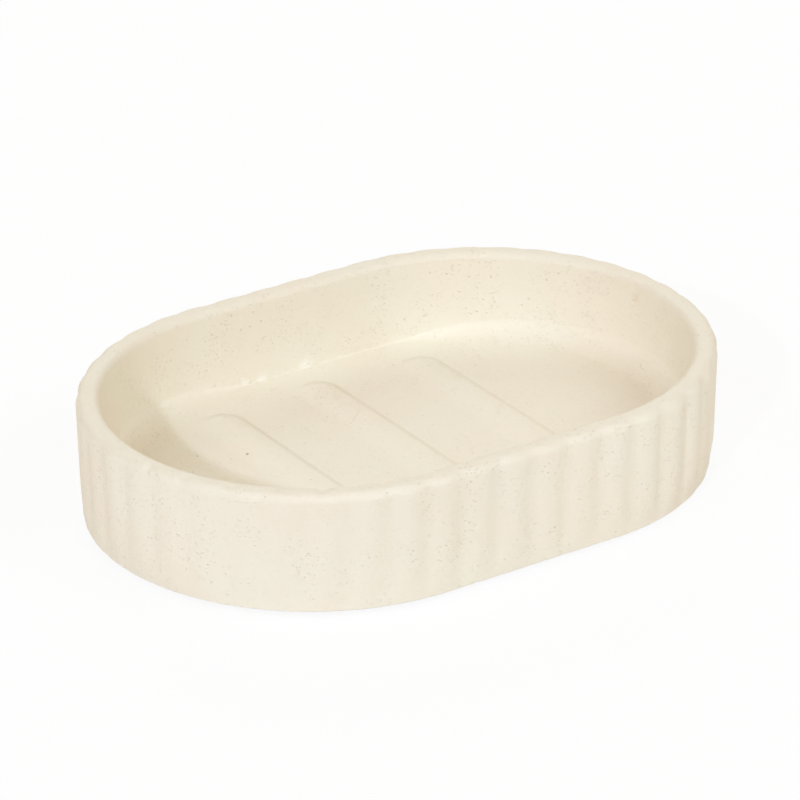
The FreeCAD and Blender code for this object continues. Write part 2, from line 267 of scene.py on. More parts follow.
def well_inset(height):
    """How far the inside wall lies from the crest line at this height."""
    depth = RIM_Z - height
    return RIM_WIDTH + math.tan(WELL_DRAFT) * depth + WELL_BOW * (depth / WELL_DEPTH) ** 2


well_x = plan_ring(well_inset(FLOOR_Z), FLOOR_Z)[:, 0]
cove_sizes = zip(TIGHT_COVE, WIDE_COVE)
cove_width, cove_height = (tight + (wide - tight) * end_share(well_x) for tight, wide in cove_sizes)
cove_height = cove_height * (1 + (RIGHT_END_COVE - 1) * ease(well_x, *RIGHT_END_X))
foot_inset = well_inset(FLOOR_Z) + cove_width * (1 - math.cos(COVE_END))
foot_z = FLOOR_Z + apron_height(well_x, END_RADIUS - foot_inset)


def cove_ring(turn):
    """A ring on the cove, from no turn at the wall to its end at the foot."""
    height = foot_z + cove_height * (math.sin(COVE_END) - math.sin(turn))
    return plan_ring(well_inset(height) + cove_width * (1 - math.cos(turn)), height)


lip_end_z = rings[-1][:, 2]
cove_top_z = cove_ring(0)[:, 2]
for share in np.linspace(0, 1, INNER_WALL_RINGS + 1)[1:-1] ** RING_CROWDING:
    height = lip_end_z + share * (cove_top_z - lip_end_z)
    rings.append(plan_ring(well_inset(height), height))
rings.extend(cove_ring(turn) for turn in np.linspace(0, COVE_END, COVE_RINGS))
print(len(rings), "rings down to the floor")

# %% [markdown]
# ## The floor and its ridges
# The three ridges are low beads with rounded ends. The side that faces the light melts into the
# floor, while the far side meets it in a thin crease. A bead could be a separate mesh sunk into the
# floor, but the real dish has no seam there, so the floor is one height map over a fine triangle
# mesh, and the beads are part of the height.

# %% Floor height map
RIDGE_SPACING = 25 * MM
RIDGE_MIDDLE = -0.5 * MM
RIDGE_HALF_WIDTH, RIDGE_RISE = 4.7 * MM, 0.8 * MM
RIDGE_LENGTHS = {-1: 66 * MM, 0: 70 * MM, 1: 66 * MM}
CRISP_EDGE = 3.2 * MM, 5.5 * MM
SOFT_SIDE = -5.4 * MM, 1.8 * MM


def stadium_radius(points):
    """End radius of the stadium about the middle of the dish that each point lies on."""
    past_straight = np.clip(abs(points[:, 0]) - HALF_STRAIGHT, 0, None)
    return np.hypot(past_straight, points[:, 1])


def floor_height(x, y):
    """Height of the floor at these places, apron and ridges included."""
    height = FLOOR_Z + apron_height(x, stadium_radius(np.column_stack([x, y])))
    for step, length in RIDGE_LENGTHS.items():
        across = x - RIDGE_MIDDLE - step * RIDGE_SPACING
        past_end = np.clip(abs(y) - (length / 2 - RIDGE_HALF_WIDTH), 0, None)
        inside = 1 - ease(np.hypot(across, past_end), *CRISP_EDGE)
        height += RIDGE_RISE * inside * ease(across, *SOFT_SIDE)
    return height


probe_x = np.linspace(-RIDGE_SPACING / 2, RIDGE_SPACING / 2, 101)
ridge_top = floor_height(probe_x, np.zeros_like(probe_x)).max()
print("ridges stand", round((ridge_top - FLOOR_Z) / MM, 2), "mm above the floor")

# %% [markdown]
# ## Triangles for the floor
# A height map needs points wherever the height changes quickly. Rows of points about half a
# millimetre apart are laid over the floor, every other row moved by half a step, and a Delaunay
# triangulation ties them to the last ring of the cove. A square grid would be simpler, but it would
# leave steps along the round edge.

# %% Fill the floor
FLOOR_STEPS = 0.5 * MM, 0.68 * MM
EDGE_MARGIN = 0.3 * MM
MERGE_WITHIN = 1e-9


def staggered_points(across_step, along_step, radius):
    """Rows of points along Y inside a stadium, every other row moved by half a step."""
    reach_x = math.ceil((HALF_STRAIGHT + radius) / across_step)
    reach_y = math.ceil(radius / along_step) + 1
    row, place = np.meshgrid(np.arange(-reach_x, reach_x + 1), np.arange(-reach_y, reach_y + 1))
    points = np.column_stack([row.ravel() * across_step, (place + 0.5 * (row % 2)).ravel() * along_step])
    return points[stadium_radius(points) < radius]


def fill_loops(loops, loose):
    """Fills closed loops with triangles: all flat points, loops first, and three numbers a triangle."""
    points = np.vstack([*loops, loose])
    edges = []
    start = 0
    for loop in loops:
        edges += [(start + i, start + (i + 1) % len(loop)) for i in range(len(loop))]
        start += len(loop)
    vectors = [Vector(point) for point in points]
    result = geometry.delaunay_2d_cdt(vectors, edges, [], 1, MERGE_WITHIN)
    source = [given[0] for given in result[3]]
    triangles = np.array([[source[corner] for corner in face] for face in result[2]])
    return points, triangles


def point_tree(points):
    """A tree that finds the nearest of these points."""
    tree = kdtree.KDTree(len(points))
    for number, point in enumerate(points):
        tree.insert(point, number)
    tree.balance()
    return tree


floor_edge = rings[-1]
floor_tree = point_tree(floor_edge)
floor_loose = staggered_points(*FLOOR_STEPS, END_RADIUS - foot_inset.min())
nearest_edge = np.array([floor_tree.find((x, y, FLOOR_Z))[1] for x, y in floor_loose])
within = stadium_radius(floor_loose) < stadium_radius(floor_edge)[nearest_edge] - EDGE_MARGIN
floor_loose = floor_loose[within]
floor_flat, floor_triangles = fill_loops([floor_edge[:, :2]], floor_loose)
print(len(floor_flat), "floor points,", len(floor_triangles), "triangles")

# %% [markdown]
# ## The underside
# Nobody looks at it for long, but the dish is picked up and turned over: it has a flat cast base with
# four round seats for the feet. The base is filled with triangles round the seats, and each seat is a
# short stack of rings that ends in a flat roof.

# %% Underside with four seats
SEAT_CLEARANCE = 0.3 * MM
SEAT_EDGE = 0.25 * MM
SEAT_POINTS = 64
CORNERS = ("front_left", "front_right", "rear_left", "rear_right")
BASE_STEPS = 3.0 * MM, 3.2 * MM


def corner_place(corner):
    """Middle of a foot in plan, its radius, and the height of the top of its glue disc."""
    low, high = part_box("foot_pad_" + corner)
    glue_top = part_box("adhesive_disc_" + corner)[1].z
    return (low + high).xy / 2, (high.x - low.x) / 2, glue_top


def circle(middle, radius):
    """Flat points of a circle, anticlockwise from above."""
    turn = np.linspace(0, 2 * math.pi, SEAT_POINTS, endpoint=False)
    return np.array(middle) + radius * np.column_stack([np.cos(turn), np.sin(turn)])


seats = [corner_place(corner) for corner in CORNERS]
seat_loops = [circle(middle, radius + SEAT_CLEARANCE + SEAT_EDGE) for middle, radius, _ in seats]
base_loose = staggered_points(*BASE_STEPS, END_RADIUS - BASE_INSET - BASE_STEPS[0] / 2)
for middle, radius, _ in seats:
    clear = np.hypot(*(base_loose - np.array(middle)).T) > radius + BASE_STEPS[0]
    base_loose = base_loose[clear]
base_flat, base_triangles = fill_loops([rings[0][:, :2], *seat_loops], base_loose)
base_middles = base_flat[base_triangles].mean(axis=1)
for middle, radius, _ in seats:
    outside = np.hypot(*(base_middles - np.array(middle)).T) > radius + SEAT_CLEARANCE
    base_triangles, base_middles = base_triangles[outside], base_middles[outside]
print(len(base_triangles), "triangles on the underside")

# %% [markdown]
# ## One closed skin
# The real dish is poured in one piece, so the rings, the floor, the underside and the seats become one
# mesh. Joining finished objects would leave doubled points along every border. A small collector keeps
# the points and faces instead, and each patch only says which points it shares with the last one.

# %% Join the patches
SEAT_BEVEL = 0.3 * SEAT_EDGE
skin_points = list(np.vstack(rings))
skin_faces = []


def add_band(lower, upper, inward=False):
    """Quads between two rings of point numbers; inward turns the faces towards the middle."""
    for here in range(len(lower)):
        after = (here + 1) % len(lower)
        quad = (lower[here], lower[after], upper[after], upper[here])
        skin_faces.append(quad[::-1] if inward else quad)


def add_points(points):
    """Adds points to the skin and gives their numbers."""
    start = len(skin_points)
    skin_points.extend(points)
    return list(range(start, len(skin_points)))


ring_numbers = [list(range(i * COLUMNS, (i + 1) * COLUMNS)) for i in range(len(rings))]
for lower, upper in zip(ring_numbers, ring_numbers[1:]):
    add_band(lower, upper)

floor_loose_points = np.column_stack([floor_loose, floor_height(*floor_loose.T)])
floor_numbers = np.array(ring_numbers[-1] + add_points(floor_loose_points))
skin_faces.extend(tuple(face) for face in floor_numbers[floor_triangles])

base_added = base_flat[COLUMNS:]
base_level = np.full(len(base_added), BASE_Z)
base_numbers = np.array(ring_numbers[0] + add_points(np.column_stack([base_added, base_level])))
skin_faces.extend(tuple(face[::-1]) for face in base_numbers[base_triangles])

for index, (middle, radius, glue_top) in enumerate(seats):
    wall_radius = radius + SEAT_CLEARANCE
    last = list(base_numbers[COLUMNS + index * SEAT_POINTS : COLUMNS + (index + 1) * SEAT_POINTS])
    roof = glue_top - BASE_Z
    steps = ((SEAT_BEVEL, SEAT_BEVEL), (0, SEAT_EDGE), (0, roof), (-wall_radius / 2, roof))
    for outset, rise in steps:
        ring = circle(middle, wall_radius + outset)
        numbers = add_points(np.column_stack([ring, np.full(SEAT_POINTS, BASE_Z + rise)]))
        add_band(last, numbers, inward=True)
        last = numbers
    (hub,) = add_points([np.array((*middle, glue_top))])
    skin_faces.extend((last[(i + 1) % SEAT_POINTS], last[i], hub) for i in range(SEAT_POINTS))


def mesh_piece(name, points, faces):
    """A smooth-shaded mesh object, linked to the scene."""
    mesh = bpy.data.meshes.new(name)
    mesh.from_pydata([tuple(point) for point in points], [], [tuple(map(int, face)) for face in faces])
    mesh.update()
    mesh.shade_smooth()
    piece = bpy.data.objects.new(name, mesh)
    bpy.context.scene.collection.objects.link(piece)
    return piece


cast_dish = mesh_piece("cast_dish", skin_points, skin_faces)
triangle_count = sum(len(face) - 2 for face in skin_faces)
print("cast_dish:", len(skin_points), "points,", triangle_count, "triangles")

# %% [markdown]
# ## Marks of the casting
# A hand-poured piece is never quite true. Its faces wave by a few hundredths of a millimetre, air
# bubbles leave shallow dents, the lip is nicked along the front left, and there is a dimple high in
# the right end. Sculpting would do it, but it could not be repeated, so the points are moved in code
# along their normals, by smooth noise, by placed nicks and by dents strewn with a fixed seed. All of
# it takes away, so the dish never grows, and the seats of the feet stay as they are. A nick is a
# place, a radius and a depth, in millimetres.

# %% Waves, nicks and dents
WAVES = ((14 * MM, 0.06 * MM), (5 * MM, 0.045 * MM), (2.2 * MM, 0.02 * MM))
DENTS = 160
DENT_RADII = 0.55 * MM, 1.0 * MM
DENT_DEPTHS = 0.05 * MM, 0.16 * MM
NICKS = (
    ((64.1, 6.0, 23.5), 2.0, 0.5),
    ((-66.9, -11.2, 27.0), 1.9, 0.5),
    ((-63.9, -19.0, 27.2), 2.1, 0.5),
    ((-58.2, -27.6, 27.2), 2.3, 0.6),
    ((-51.0, -34.6, 27.3), 2.0, 0.5),
    ((-44.3, -39.3, 27.2), 2.4, 0.6),
    ((-38.4, -42.2, 27.3), 1.6, 0.4),
    ((-33.0, -44.1, 27.3), 2.0, 0.5),
    ((-25.0, -45.6, 27.3), 1.8, 0.35),
)
DENT_SEED = 7


def mesh_array(piece, field):
    """The coordinates or the normals of a mesh's points as rows."""
    rows = np.empty(len(piece.data.vertices) * 3, np.float32)
    piece.data.vertices.foreach_get(field, rows)
    return rows.reshape(-1, 3).astype(float)


def wave(points, size):
    """Smooth noise between 0 and 1 whose bumps are about this large."""
    return np.array([0.5 + 0.5 * noise.noise(Vector(point) / size) for point in points])


points = mesh_array(cast_dish, "co")
normals = mesh_array(cast_dish, "normal")
moved = np.zeros(len(points))
for size, depth in WAVES:
    moved -= depth * wave(points, size)

skin_tree = point_tree(points)
dents = [(Vector(middle) * MM, radius * MM, depth * MM) for middle, radius, depth in NICKS]
rng = np.random.default_rng(DENT_SEED)
for target in rng.choice(COLUMNS * len(rings), DENTS, replace=False):
    dents.append((points[target], rng.uniform(*DENT_RADII), rng.uniform(*DENT_DEPTHS)))
for middle, radius, depth in dents:
    for _, number, distance in skin_tree.find_range(middle, radius):
        moved[number] -= depth * (1 - (distance / radius) ** 2) ** 2

low_down = points[:, 2] < BASE_Z + BASE_EDGE_RADIUS
in_seat = np.zeros(len(points), bool)
for middle, radius, _ in seats:
    seat_reach = radius + SEAT_CLEARANCE + 2 * SEAT_EDGE
    in_seat |= np.hypot(*(points[:, :2] - np.array(middle)).T) < seat_reach
moved[low_down & in_seat] = 0
print(len(dents), "dents; moved by, mm:", round(moved.min() / MM, 3), "to", round(moved.max() / MM, 3))

# %% [markdown]
# ## Flash along the rear foot
# A little mix crept under the core and set as three lumps in the corner between the rear wall and the
# floor. They could be raised along the normals too, but in a hollow corner the normals lean together
# and would fold a lump into itself, so all its points rise along one fixed direction. A lump is a
# place, half a length and a rise, in millimetres.

# %% Raise the flash and set the casting in the frame
FLASH = (
    ((3.9, 42.2, 9.7), 1.7, 0.7),
    ((-7.2, 42.2, 9.5), 1.3, 0.5),
    ((-11.4, 42.2, 9.6), 1.1, 0.6),
)
FLASH_HALF_HEIGHT = 0.6 * MM
FLASH_WAY = np.array((0, -0.6, 0.8))

lifted = np.zeros(len(points))
for middle, half_length, rise in FLASH:
    offset = points - np.array(middle) * MM
    along = offset[:, 0] / (half_length * MM)
    across = np.hypot(offset[:, 1], offset[:, 2]) / FLASH_HALF_HEIGHT
    lifted += rise * MM * np.exp(-(along**4) - across**2)
points += normals * moved[:, None] + lifted[:, None] * FLASH_WAY
cast_dish.data.vertices.foreach_set("co", points.astype(np.float32).ravel())
cast_dish.data.update()
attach(cast_dish, "root")
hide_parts("dish_body")
print(len(FLASH), "lumps of flash, the highest", round(lifted.max() / MM, 2), "mm")

# %% [markdown]
# ## Rubber feet
# Each foot is a moulded disc with a rounded lower edge and a soft upper edge. A disc is a shape on a
# lathe, so its outline is drawn once, from the middle of its top to the middle of its underside, and
# turned round the foot's own axis. Fine rings pressed into the underside give it its grip.

# %% Turn the feet
FOOT_POINTS = 72
FOOT_TOP_SHARES = 0.3, 0.6, 0.85
FOOT_TOP_EDGE, FOOT_LOWER_EDGE = 0.15 * MM, 0.4 * MM
GRIP_RINGS, GRIP_STEPS, GRIP_DEPTH = 3, 8, 0.06 * MM


def foot_outline(radius, height):
    """Radius and height pairs from the middle of the top, over the rim, to that of the underside."""
    outline = [(radius * share, height) for share in FOOT_TOP_SHARES]
    for turn in np.radians((90, 60, 30, 0)):
        away = FOOT_TOP_EDGE * np.array((math.cos(turn), math.sin(turn)))
        outline.append((radius - FOOT_TOP_EDGE + away[0], height - FOOT_TOP_EDGE + away[1]))
    outline.append((radius, height / 2))
    for turn in np.radians((0, 18, 36, 54, 72, 90)):
        away = FOOT_LOWER_EDGE * np.array((math.cos(turn), -math.sin(turn)))
        outline.append((radius - FOOT_LOWER_EDGE + away[0], FOOT_LOWER_EDGE + away[1]))
    sole = radius - FOOT_LOWER_EDGE
    for share in np.linspace(1, 0, GRIP_RINGS * GRIP_STEPS + 1)[1:-1]:
        groove = 0.5 - 0.5 * math.cos(2 * math.pi * GRIP_RINGS * share)
        outline.append((sole * share, GRIP_DEPTH * groove**3))
    return outline


def turned_foot(corner):
    """A foot on its own place in the frame, in the stead of the CAD disc."""
    low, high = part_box("foot_pad_" + corner)
    middle = (low + high) / 2
    outline = foot_outline((high.x - low.x) / 2, high.z - low.z)
    turn = np.linspace(0, 2 * math.pi, FOOT_POINTS, endpoint=False)
    rows = []
    for r, z in outline:
        rows.append(np.column_stack([r * np.cos(turn), r * np.sin(turn), np.full(FOOT_POINTS, z)]))
    hubs = [(0, 0, outline[0][1]), (0, 0, outline[-1][1])]
    corners = np.vstack([*rows, hubs]) + (middle.x, middle.y, low.z)
    top, bottom = len(corners) - 2, len(corners) - 1
    faces = []
    for i in range(FOOT_POINTS):
        after = (i + 1) % FOOT_POINTS
        faces.append((top, i, after))
        for row in range(len(rows) - 1):
            start = row * FOOT_POINTS
            faces.append((start + i, start + FOOT_POINTS + i, start + FOOT_POINTS + after, start + after))
        start = (len(rows) - 1) * FOOT_POINTS
        faces.append((start + i, bottom, start + after))
    foot = mesh_piece("rubber_foot_" + corner, corners, faces)
    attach(foot, "root")
    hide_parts("foot_pad_" + corner)
    return foot


rubber_feet = [turned_foot(corner) for corner in CORNERS]
print(len(rubber_feet), "feet with", len(rubber_feet[0].data.polygons), "faces each")

# %% [markdown]
# ## Writing shaders as sums
# A finish is a tree of nodes, and clicking dozens of Math nodes together is slow to read. The class
# below wraps one output socket. Adding, subtracting or multiplying two of them, or one and a number,
# adds the Math node for it, so a mask reads like arithmetic. Every other node comes from one method
# that sets the node up first and then fills its sockets.

# %% A socket that can be used in sums
class Wire:
    """An output socket of a node tree, usable in arithmetic."""

    def __init__(self, tree, socket):
        self.tree = tree
        self.socket = socket

    def node(self, kind, settings=None, inputs=None, output=0):
        """Adds a node: its settings first, then a value or a link for each socket. Gives one output."""
        made = self.tree.nodes.new("ShaderNode" + kind)
        for name, setting in (settings or {}).items():
            setattr(made, name, setting)
        for name, value in (inputs or {}).items():
            if isinstance(value, Wire):
                self.tree.links.new(value.socket, made.inputs[name])
            else:
                made.inputs[name].default_value = value
        return Wire(self.tree, made.outputs[output]) if made.outputs else None

    def also(self, output):
        """Another output of the same node."""
        return Wire(self.tree, self.socket.node.outputs[output])

    def calculate(self, operation, first, second):
        """Adds a Math node for two values."""
        return self.node("Math", {"operation": operation}, {0: first, 1: second})

    def __add__(self, other):
        return self.calculate("ADD", self, other)

    def __sub__(self, other):
        return self.calculate("SUBTRACT", self, other)

    def __rsub__(self, other):
        return self.calculate("SUBTRACT", other, self)

    def __mul__(self, other):
        return self.calculate("MULTIPLY", self, other)

    def __truediv__(self, other):
        return self.calculate("DIVIDE", self, other)

    def __pow__(self, other):
        return self.calculate("POWER", self, other)

    __radd__ = __add__
    __rmul__ = __mul__

    def larger(self, other):
        """The larger of two values."""
        return self.calculate("MAXIMUM", self, other)

    def between(self, low, high):
        """0 at low, 1 at high, smooth in between; low may be the larger."""
        inputs = {"Value": self, "From Min": low, "From Max": high}
        return self.node("MapRange", {"interpolation_type": "SMOOTHSTEP"}, inputs)

    def noise(self, size, detail=2.0, roughness=0.5):
        """Noise whose bumps are about this large, about 0.5 in the middle, from a place in metres."""
        inputs = {"Vector": self, "Scale": 1 / size, "Detail": detail, "Roughness": roughness}
        return self.node("TexNoise", {"noise_dimensions": "3D"}, inputs)

    def stretched(self, factors):
        """A place with each axis multiplied."""
        return self.node("VectorMath", {"operation": "MULTIPLY"}, {0: self, 1: factors})

    def mixed(self, first, second):
        """A colour between two, by this share."""
        return self.node("Mix", {"data_type": "RGBA"}, {0: self, 6: first, 7: second}, 2)

    def bump(self, distance):
        """A normal from this height, where 1 stands this far above 0."""
        return self.node("Bump", {}, {"Height": self, "Distance": distance, "Strength": 1.0})


def new_material(name):
    """An empty material and a wire with the place on the piece, in metres."""
    material = bpy.data.materials.new(name)
    material.use_nodes = True
    tree = material.node_tree
    tree.nodes.clear()
    place = tree.nodes.new("ShaderNodeTexCoord")
    return material, Wire(tree, place.outputs["Object"])


def finish_surface(place, inputs):
    """Ends a material in a Principled shader with these values."""
    shader = place.node("BsdfPrincipled", {}, inputs)
    shader.node("OutputMaterial", {}, {"Surface": shader})


print("a wire knows", sum(callable(member) for member in vars(Wire).values()), "methods")

# %% [markdown]
# ## Masks for holes and marks
# The casting is peppered with pin holes where air sat against the mould. Each hole as geometry would
# take millions of faces, so cells of noise carry them: each cell holds at most one hole of its own
# size. A few marks that catch the eye have a place of their own, and their mask is the distance from
# that place.

# %% Hole and mark masks
LUCK_BLUR = 0.02
HOLE_SLOPE = 0.55
MARK_CORE = 0.4


def pin_holes(place, cell, share_with_hole, smallest, largest):
    """Mask of round holes, one or none in each cell: 1 in the middle of a hole, 0 outside."""
    inputs = {"Vector": place, "Scale": 1 / cell, "Randomness": 1.0}
    distance = place.node("TexVoronoi", {"feature": "F1"}, inputs)
    luck = distance.also("Color").node("SeparateColor")
    needed = 1 - share_with_hole
    has_hole = luck.between(needed - LUCK_BLUR, needed + LUCK_BLUR)
    radius = (smallest + (largest - smallest) * luck.also(1) ** 2) / cell
    return has_hole * ((radius - distance) / radius).between(0.0, HOLE_SLOPE)


def placed_marks(place, marks, flatter=1.0):
    """Mask of marks at known places, given in mm: 1 in the middle of a mark, 0 outside."""
    squash = (1, flatter, flatter)
    masks = []
    for middle, radius in marks:
        target = tuple(MM * value * factor for value, factor in zip(middle, squash))
        inputs = {0: place.stretched(squash), 1: target}
        away = place.node("VectorMath", {"operation": "DISTANCE"}, inputs, "Value")
        masks.append(away.between(radius * MM, MARK_CORE * radius * MM))
    mask = masks[0]
    for other in masks[1:]:
        mask = mask.larger(other)
    return mask


print("a hole reaches its full depth over", HOLE_SLOPE, "of its radius, a mark over", 1 - MARK_CORE)

# %% [markdown]
# ## Cast stone
# The mix is cream with faint warm clouds, fine grain and pale flecks, and dead matt. The holes come
# small and gathered in patches, or larger and scattered, and are flattened a little, because bubbles
# drag as the mix settles. One mask both darkens a hole with painted shade and sinks the surface, so
# colour and relief always agree. A darker, warmer patch on the dimple in the right end, a painted
# highlight over the flash and painted shade in seven deep pits are laid over the rest. Each share says
# how much of its colour a layer lays over the one below.

# %% Cast stone finish
STONE_CREAM = (0.845, 0.796, 0.660, 1)
STONE_WARM = (0.850, 0.780, 0.642, 1)
STONE_PALE = (0.880, 0.825, 0.700, 1)
# Dark flecks of the grain, and painted shade in the pin holes.
STONE_DARK_FLECK_AND_HOLE_SHADE = (0.50, 0.44, 0.34, 1)
# A darker, warmer patch laid on the dimple high in the right end.
DIMPLE_PATCH_COLOUR = (0.78, 0.66, 0.50, 1)
# Painted highlight: a paler colour over the flash lumps, which face the light.
FLASH_PAINTED_HIGHLIGHT = (0.95, 0.92, 0.84, 1)
# Painted shade: near black at the bottom of the seven deep pits.
PIT_PAINTED_SHADE = (0.10, 0.08, 0.06, 1)
# Where that patch lies, and its radius, in millimetres.
DIMPLE_PATCHES = (((64.1, 6.0, 23.5), 1.5),)
PITS = (
    ((-28.9, 13.8, 9.1), 0.42),
    ((-37.8, 19.1, 9.0), 0.26),
    ((7.6, -48.3, 15.0), 0.30),
    ((64.3, 3.7, 22.6), 0.18),
    ((64.4, 1.1, 22.9), 0.24),
    ((64.5, -1.4, 23.4), 0.18),
    ((60.3, -2.0, 9.4), 0.20),
)
CLOUD_SIZE, GRAIN_SIZE, LUMP_SIZE, PATCH_SIZE = 18 * MM, 0.8 * MM, 2.4 * MM, 7 * MM
BUBBLE_DRAG = (1, 1, 1.7)
FINE_HOLES = 1.0 * MM, 0.6, 0.10 * MM, 0.30 * MM
COARSE_HOLES = 3.6 * MM, 0.4, 0.12 * MM, 0.42 * MM
FLECKS = 1.3 * MM, 0.5, 0.12 * MM, 0.36 * MM
# How far the painted highlight spreads past each flash lump, and how much flatter it is.
FLASH_HIGHLIGHT_SPREAD, FLASH_HIGHLIGHT_FLATTER = 1.4, 2.4
CLOUD_EDGES, PATCH_EDGES = (0.35, 0.65), (0.36, 0.60)
PALE_GRAIN, DARK_GRAIN = (0.52, 0.75), (0.44, 0.25)
# The hole share is the strength of the painted shade in the pin holes.
PALE_SHARE, DARK_SHARE, FLECK_SHARE, HOLE_SHADE_SHARE = 0.5, 0.12, 0.8, 0.09
# Shares of the dimple patch, the painted highlight on the flash and the painted shade in the pits.
DIMPLE_PATCH_SHARE, FLASH_HIGHLIGHT_SHARE, PIT_SHADE_SHARE = 0.5, 0.5, 0.6
GRAIN_HEIGHT, LUMP_HEIGHT, RELIEF = 0.17, 0.32, 0.11 * MM
STONE_ROUGHNESS, GRAIN_ROUGHNESS, STONE_SHINE = 0.86, 0.10, 0.3


def stone_colour(place, clouds, grain, flecks, holes, pits):
    """Cream with clouds, grain and flecks, then painted shade in holes, the dimple patch, painted
    highlight on the flash and painted shade in pits.
    """
    flash_highlight_marks = [(middle, FLASH_HIGHLIGHT_SPREAD * half_length) for middle, half_length, _ in FLASH]
    flash = placed_marks(place, flash_highlight_marks, FLASH_HIGHLIGHT_FLATTER)
    colour = clouds.between(*CLOUD_EDGES).mixed(STONE_CREAM, STONE_WARM)
    colour = (grain.between(*PALE_GRAIN) * PALE_SHARE).mixed(colour, STONE_PALE)
    colour = (grain.between(*DARK_GRAIN) * DARK_SHARE).mixed(colour, STONE_DARK_FLECK_AND_HOLE_SHADE)
    colour = (flecks * FLECK_SHARE).mixed(colour, STONE_PALE)
    # Painted shade: the pin holes are darkened where shade falls in them.
    colour = (holes * HOLE_SHADE_SHARE).mixed(colour, STONE_DARK_FLECK_AND_HOLE_SHADE)
    # The darker, warmer patch on the dimple in the right end.
    colour = (placed_marks(place, DIMPLE_PATCHES) * DIMPLE_PATCH_SHARE).mixed(colour, DIMPLE_PATCH_COLOUR)
    # Painted highlight over the flash lumps.
    colour = (flash * FLASH_HIGHLIGHT_SHARE).mixed(colour, FLASH_PAINTED_HIGHLIGHT)
    # Painted shade in the deep pits.
    return (pits * PIT_SHADE_SHARE).mixed(colour, PIT_PAINTED_SHADE)


def cast_stone():
    """Matt cream stone mix with clouds, grain and pin holes."""
    material, place = new_material("cast_stone")
    flattened = place.stretched(BUBBLE_DRAG)
    clouds = place.noise(CLOUD_SIZE, 3.0)
    grain = flattened.noise(GRAIN_SIZE, 4.0, 0.6)
    lumps = flattened.noise(LUMP_SIZE, 2.0)
    gathered = place.noise(PATCH_SIZE, 2.0).between(*PATCH_EDGES)
    fine = pin_holes(flattened, *FINE_HOLES) * gathered
    coarse = pin_holes(flattened, *COARSE_HOLES)
    flecks = pin_holes(flattened, *FLECKS) * gathered
    holes = fine.larger(coarse)
    pits = placed_marks(place, PITS)
    colour = stone_colour(place, clouds, grain, flecks, holes, pits)
    height = grain * GRAIN_HEIGHT + lumps * LUMP_HEIGHT - holes - pits
    inputs = {
        "Base Color": colour,
        "Roughness": STONE_ROUGHNESS + GRAIN_ROUGHNESS * grain,
        "Specular IOR Level": STONE_SHINE,
        "Normal": height.bump(RELIEF),
    }
    finish_surface(place, inputs)
    return material


cast_dish.data.materials.append(cast_stone())
print("cast stone:", len(cast_dish.active_material.node_tree.nodes), "nodes")

# %% [markdown]
# ## Rubber and glue
# The feet are a soft warm grey rubber: matt, slightly cloudy and dusted with lint from the shelf. The
# glue discs hide between foot and seat, and show only as a thin milky line, so their CAD shape stays
# and only the finish changes.

# %% Rubber and glue finishes
RUBBER_GREY = (0.60, 0.58, 0.53, 1)
RUBBER_DARK = (0.47, 0.45, 0.41, 1)
RUBBER_DUST = (0.80, 0.78, 0.72, 1)
GLUE_MILKY = (0.80, 0.78, 0.70, 1)
GLUE_CLEAR = (0.66, 0.62, 0.52, 1)
RUBBER_CLOUDS, RUBBER_GRAIN, GLUE_CLOUDS = 2.5 * MM, 0.25 * MM, 1.6 * MM
LINT = 0.9 * MM, 0.3, 0.03 * MM, 0.09 * MM
BUBBLES = 0.8 * MM, 0.5, 0.05 * MM, 0.2 * MM
RUBBER_RELIEF, GLUE_RELIEF = 0.03 * MM, 0.02 * MM


def pad_rubber():
    """Soft rubber with faint clouds, moulded grain and specks of dust."""
    material, place = new_material("pad_rubber")
    clouds = place.noise(RUBBER_CLOUDS, 3.0)
    grain = place.noise(RUBBER_GRAIN, 3.0, 0.6)
    dust = pin_holes(place, *LINT)
    colour = clouds.between(0.3, 0.7).mixed(RUBBER_GREY, RUBBER_DARK)
    colour = (dust * 0.8).mixed(colour, RUBBER_DUST)
    roughness = 0.62 + 0.2 * grain + 0.15 * dust
    normal = grain.bump(RUBBER_RELIEF)
    finish_surface(place, {"Base Color": colour, "Roughness": roughness, "Normal": normal})
    return material


def glue_film():
    """Milky double-sided film with trapped bubbles."""
    material, place = new_material("adhesive")
    clouds = place.noise(GLUE_CLOUDS, 4.0)
    bubbles = pin_holes(place, *BUBBLES)
    colour = clouds.between(0.35, 0.65).mixed(GLUE_MILKY, GLUE_CLEAR)
    colour = (bubbles * 0.6).mixed(colour, GLUE_CLEAR)
    roughness = 0.35 + 0.25 * clouds
    normal = bubbles.bump(GLUE_RELIEF)
    finish_surface(place, {"Base Color": colour, "Roughness": roughness, "Normal": normal})
    return material


rubber, glue = pad_rubber(), glue_film()
for foot in rubber_feet:
    foot.data.materials.append(rubber)
for corner in CORNERS:
    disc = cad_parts["adhesive_disc_" + corner]
    disc.data.materials.clear()
    disc.data.materials.append(glue)
print("finishes:", [material.name for material in (cast_dish.active_material, rubber, glue)])

# %% [markdown]
# ## Floor and background
# The dish was photographed on white. A floor lit until it burns out would also wash out the pale
# stone, so the floor adds a white glow that only camera, mirror and glass rays see, and keeps a part
# of its own shading, which is where the soft shadow shows. The same trick makes the background white,
# and the matt stone takes no more than a faint sheen from it. The light that the background does give
# the dish is orange and comes from all round: about a third as strong as white in red, a fifth in
# green and a twentieth in blue.

# %% White floor and background
FLOOR_SIZE = 6.0
FLOOR_COLOUR = (0.94, 0.94, 0.94, 1)
FLOOR_GLOW = 0.9
AMBIENT, AMBIENT_COLOUR = 0.355, (1.0, 0.56, 0.14, 1)


